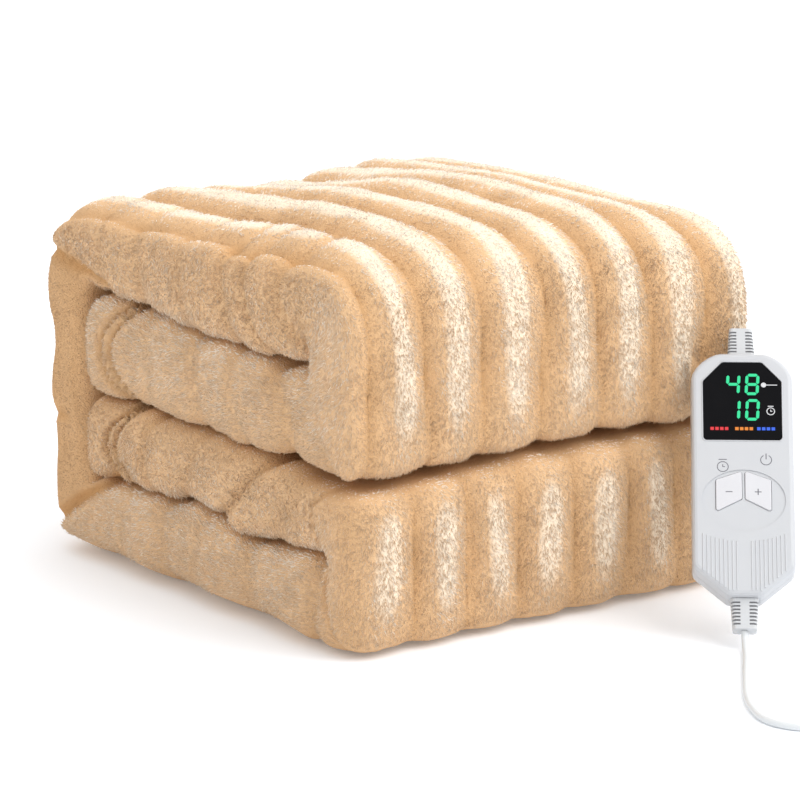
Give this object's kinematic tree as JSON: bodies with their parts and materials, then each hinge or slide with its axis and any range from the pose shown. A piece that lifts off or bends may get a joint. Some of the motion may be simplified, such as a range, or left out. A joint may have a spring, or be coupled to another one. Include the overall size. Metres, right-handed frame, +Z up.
{
  "type": "folded electric heated blanket",
  "caption": "Folded ribbed plush heated blanket with a hand controller leaning on its front corner and a mains lead that ends in a tied coil and a plug.",
  "frame": {"origin": "on the surface it rests on, under the middle of the folded blanket", "axes": "+Z up, +X along the front folds from the smooth folded side to the hemmed side, +Y from the front folds to the back"},
  "size_m": [0.3203, 0.6356, 0.2552],
  "materials": {
    "plush": "ribbed plush pile",
    "housing": "satin white",
    "keys": "satin white",
    "window": "glossy black",
    "cord": "satin white",
    "blades": "polished"
  },
  "bodies": {
    "blanket_and_controller": {"blanket": "plush", "housing_rear": "housing", "housing_front": "housing", "window": "window", "strain_relief_upper": "housing", "strain_relief_lower": "housing", "mains_lead": "cord", "lead_coil": "cord", "lead_tie": "cord", "lead_tail": "cord", "plug_sleeve": "cord", "plug_body": "cord", "plug_blade_left": "blades", "plug_blade_right": "blades"},
    "key_minus": {"key_minus": "keys"},
    "key_plus": {"key_plus": "keys"}
  },
  "joints": [
    {"name": "key_minus_press", "type": "slide", "parent": "blanket_and_controller", "child": "key_minus", "axis": [0.4838, 0.6082, -0.6293], "range_m": [0, 0.0007], "stiffness_N_per_m": 600},
    {"name": "key_plus_press", "type": "slide", "parent": "blanket_and_controller", "child": "key_plus", "axis": [0.4838, 0.6082, -0.6293], "range_m": [0, 0.0007], "stiffness_N_per_m": 600}
  ]
}
